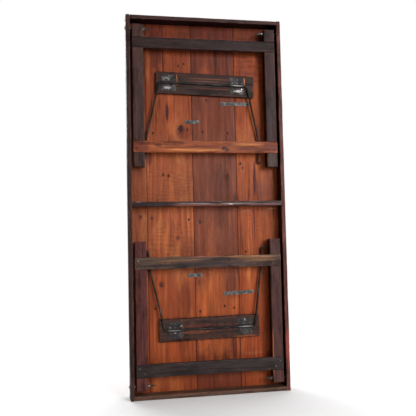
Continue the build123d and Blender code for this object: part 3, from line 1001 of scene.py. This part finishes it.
def steel_pieces():
    """Materials for the CAD nodes that keep their shape."""
    rust = (84, 46, 30)
    rods = [n for n in frame["nodes"] if n.endswith("_brace_rod")]
    assign(steel("rod_steel_worn", (48, 45, 44), (92, 88, 84), (58, 40, 32), 0.5, 0.6, 0.5, 0.3), *rods)
    # Painted highlights: the spots at v 0 with a reach of 3 mm lie along each strap's bend over the rod.
    spots = {
        ("upper", "left"): [(-6, -25, 20, 7, 0.75), (-10, 24, 18, 6, 0.35)],
        ("upper", "right"): [(0, 0, 30, 3, 0.8), (4, -25, 22, 7, 0.85)],
        ("lower", "left"): [(-4, 0, 30, 3, 0.35), (30, 20, 4, 4, 0.9)],
        ("lower", "right"): [(4, 0, 30, 3, 0.7), (0, 30, 3, 3, 0.8)],
    }
    for (end, side), places in spots.items():
        bright_spots = strap_bright_spots(end, side, places)
        look = steel(f"{end}_{side}_strap_steel", (60, 56, 55), (164, 160, 158), rust, 0.12, 0.5, bright_spots=bright_spots)
        assign(look, f"{end}_{side}_strap")
    assign(steel("plate_steel_worn", (104, 100, 97), (128, 124, 120), (84, 74, 68), 0.3, 0.35, 1.5, 0.3),
           *(n for n in frame["nodes"] if n.endswith("mending_plate")))
    screw_steel = steel("screw_steel_worn", (34, 26, 24), (60, 50, 46), (50, 30, 24), 0.3, 0.3, 3.0)
    assign(screw_steel, "mending_plate_screws")
    bright_steel = steel("strap_nail_steel", (96, 94, 93), (226, 224, 220), rust, 0.95, 0.5, 2.0, 0.3)
    assign(bright_steel, "upper_strap_nails", "lower_strap_nails")
    rubbed_steel = steel("lap_nail_steel", (84, 78, 76), (206, 200, 196), rust, 0.9, 0.5, 2.0, 0.4)
    assign(rubbed_steel, "lower_lap_nails")
    dull_steel = steel("nail_steel_worn", (50, 44, 42), (120, 114, 110), rust, 0.5, 0.6, 3.0)
    assign(dull_steel, "rim_nails", "top_nails", "upper_lap_nails", "upper_block_nails", "lower_block_nails")
    bolt_steel = steel("bolt_steel_worn", (124, 120, 114), (240, 236, 228), rust, 0.9, 0.8, 3.0, 0.35)
    assign(bolt_steel, "pivot_washers")
    for end in ("upper", "lower"):
        for side in ("left", "right"):
            bolt(f"{end}_{side}_pivot_bolt", bolt_steel)
    for node in ("apron_lock_nuts", "pivot_nuts"):
        nuts(node, bolt_steel)


# ---- Stage, light and camera ----

def stage_material():
    """A pale floor that thins out to nothing away from the table."""
    n = Nodes("pale_stage")
    away = n.length(n.vector("MULTIPLY", n.place, (1, 1, 0)))
    tone = n.smooth(n.noise(n.place, 3.0, 2.0), 0.3, 0.7, 0.84, 0.86)
    colour = n.add("ShaderNodeCombineColor", {0: tone, 1: tone, 2: tone})
    normal = n.bump(n.noise(n.place, 220.0, 3.0), 0.0004)
    inputs = {"Base Color": colour, "Roughness": 0.7, "Normal": normal, "Specular IOR Level": 0.1}
    floor = n.add("ShaderNodeBsdfPrincipled", inputs)
    clear = n.add("ShaderNodeBsdfTransparent")
    n.add_output(n.add("ShaderNodeMixShader", {0: n.smooth(away, 0.7, 2.2), 1: floor, 2: clear}))
    return n.material


def stage():
    """A round floor for the table to stand on."""
    mesh = bpy.data.meshes.new("stage")
    disc = bmesh.new()
    bmesh.ops.create_circle(disc, cap_ends=True, segments=96, radius=2.3)
    disc.to_mesh(mesh)
    disc.free()
    mesh.materials.append(stage_material())
    floor = bpy.data.objects.new("stage", mesh)
    bpy.context.scene.collection.objects.link(floor)


def area_light(name, place, target, size, power):
    """A soft square light."""
    data = bpy.data.lights.new(name, "AREA")
    data.size = size
    data.energy = power
    lamp = bpy.data.objects.new(name, data)
    lamp.location = place
    lamp.rotation_euler = (Vector(target) - Vector(place)).to_track_quat("-Z", "Y").to_euler()
    bpy.context.scene.collection.objects.link(lamp)


def lights():
    """Soft white surroundings, dimmer on the left, a key light at the front right and a fill behind."""
    world = bpy.data.worlds.new("studio")
    world.use_nodes = True
    nodes, links = world.node_tree.nodes, world.node_tree.links
    background = nodes["Background"]
    background.inputs["Color"].default_value = (1, 1, 1, 1)
    direction = nodes.new("ShaderNodeSeparateXYZ")
    links.new(nodes.new("ShaderNodeTexCoord").outputs["Generated"], direction.inputs[0])
    soft = nodes.new("ShaderNodeMapRange")
    for socket, value in zip(soft.inputs[1:5], (-0.9, 0.6, 0.15, 0.50)):
        socket.default_value = value
    links.new(direction.outputs["X"], soft.inputs["Value"])
    strength = nodes.new("ShaderNodeMix")
    strength.inputs[3].default_value = 1.0
    links.new(soft.outputs[0], strength.inputs[2])
    links.new(nodes.new("ShaderNodeLightPath").outputs["Is Camera Ray"], strength.inputs[0])
    links.new(strength.outputs[0], background.inputs["Strength"])
    bpy.context.scene.world = world
    area_light("key", (2.3, -4.4, 2.1), (0, 0, 0.95), 2.2, 185)
    area_light("above", (0.3, 0.5, 4.4), (0, 0, 0), 2.4, 130)
    area_light("fill_behind", (-1.5, 3.0, 2.8), (0, 0, 0.9), 2.2, 90)


def camera():
    """The camera at the photograph's viewing angle."""
    data = bpy.data.cameras.new("camera")
    data.lens = 48.96
    data.sensor_width = 36
    eye = bpy.data.objects.new("camera", data)
    eye.location = (-0.4858, -2.7240, 0.7252)
    eye.rotation_euler = tuple(math.radians(a) for a in (93.476, 1.2606, -10.131))
    bpy.context.scene.collection.objects.link(eye)
    bpy.context.scene.camera = eye


camera()
lights()
stage()
boards()
rim()
legs()
stretchers()
blocks()
steel_pieces()
bpy.context.scene.view_settings.view_transform = "Standard"
